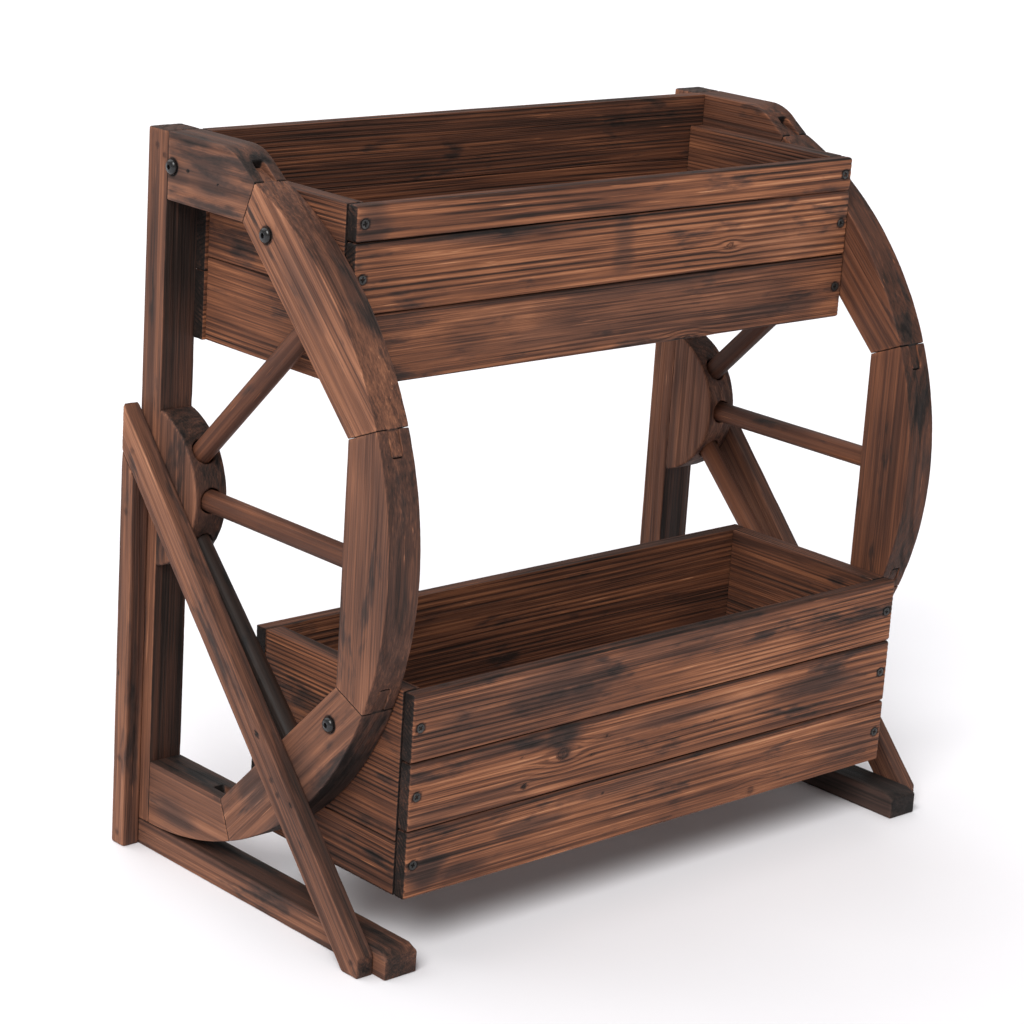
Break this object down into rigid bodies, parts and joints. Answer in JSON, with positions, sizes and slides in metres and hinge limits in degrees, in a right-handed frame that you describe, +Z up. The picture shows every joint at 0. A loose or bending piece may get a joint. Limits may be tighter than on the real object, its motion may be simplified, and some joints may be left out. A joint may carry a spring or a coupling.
{
  "type": "flower cart stand",
  "caption": "Tiered wooden planter stand: half wagon wheels on braced posts carry long open flower boxes, one set forward below the other.",
  "frame": {"origin": "on the floor, at the centre of the footprint's bounding box", "axes": "+X along the boxes to the viewer's right, -Y is the front, +Z up"},
  "size_m": [0.672, 0.352, 0.623],
  "materials": {
    "frame_wood": "dark brown stain over scorched softwood, satin",
    "board_wood": "dark brown stain over scorched softwood with raised dark grain, satin",
    "spoke_wood": "dark brown stain, satin",
    "bolt_black": "glossy black",
    "screw_steel": "darkened zinc"
  },
  "bodies": {
    "root": {"box_screws": "screw_steel", "frame_nails": "screw_steel", "left_brace": "frame_wood", "left_foot": "frame_wood", "left_hub": "frame_wood", "left_post": "frame_wood", "left_rear_leg": "frame_wood", "left_rim_1": "frame_wood", "left_rim_2": "frame_wood", "left_rim_3": "frame_wood", "left_rim_4": "frame_wood", "left_rim_5": "frame_wood", "left_spoke_lower": "spoke_wood", "left_spoke_middle": "spoke_wood", "left_spoke_upper": "spoke_wood", "lower_back_bottom": "board_wood", "lower_back_middle": "board_wood", "lower_back_top": "board_wood", "lower_bottom_back": "board_wood", "lower_bottom_front": "board_wood", "lower_front_bottom": "board_wood", "lower_front_middle": "board_wood", "lower_front_top": "board_wood", "lower_left_cleat": "board_wood", "lower_left_end_bottom": "board_wood", "lower_left_end_top": "board_wood", "lower_right_cleat": "board_wood", "lower_right_end_bottom": "board_wood", "lower_right_end_top": "board_wood", "right_brace": "frame_wood", "right_foot": "frame_wood", "right_hub": "frame_wood", "right_post": "frame_wood", "right_rear_leg": "frame_wood", "right_rim_1": "frame_wood", "right_rim_2": "frame_wood", "right_rim_3": "frame_wood", "right_rim_4": "frame_wood", "right_rim_5": "frame_wood", "right_spoke_lower": "spoke_wood", "right_spoke_middle": "spoke_wood", "right_spoke_upper": "spoke_wood", "upper_back_bottom": "board_wood", "upper_back_middle": "board_wood", "upper_back_top": "board_wood", "upper_bottom_back": "board_wood", "upper_bottom_front": "board_wood", "upper_front_bottom": "board_wood", "upper_front_middle": "board_wood", "upper_front_top": "board_wood", "upper_left_cleat": "board_wood", "upper_left_end_bottom": "board_wood", "upper_left_end_top": "board_wood", "upper_right_cleat": "board_wood", "upper_right_end_bottom": "board_wood", "upper_right_end_top": "board_wood", "wheel_bolts": "bolt_black", "wheel_lag_screws": "bolt_black", "wheel_nuts": "bolt_black"}
  },
  "joints": []
}
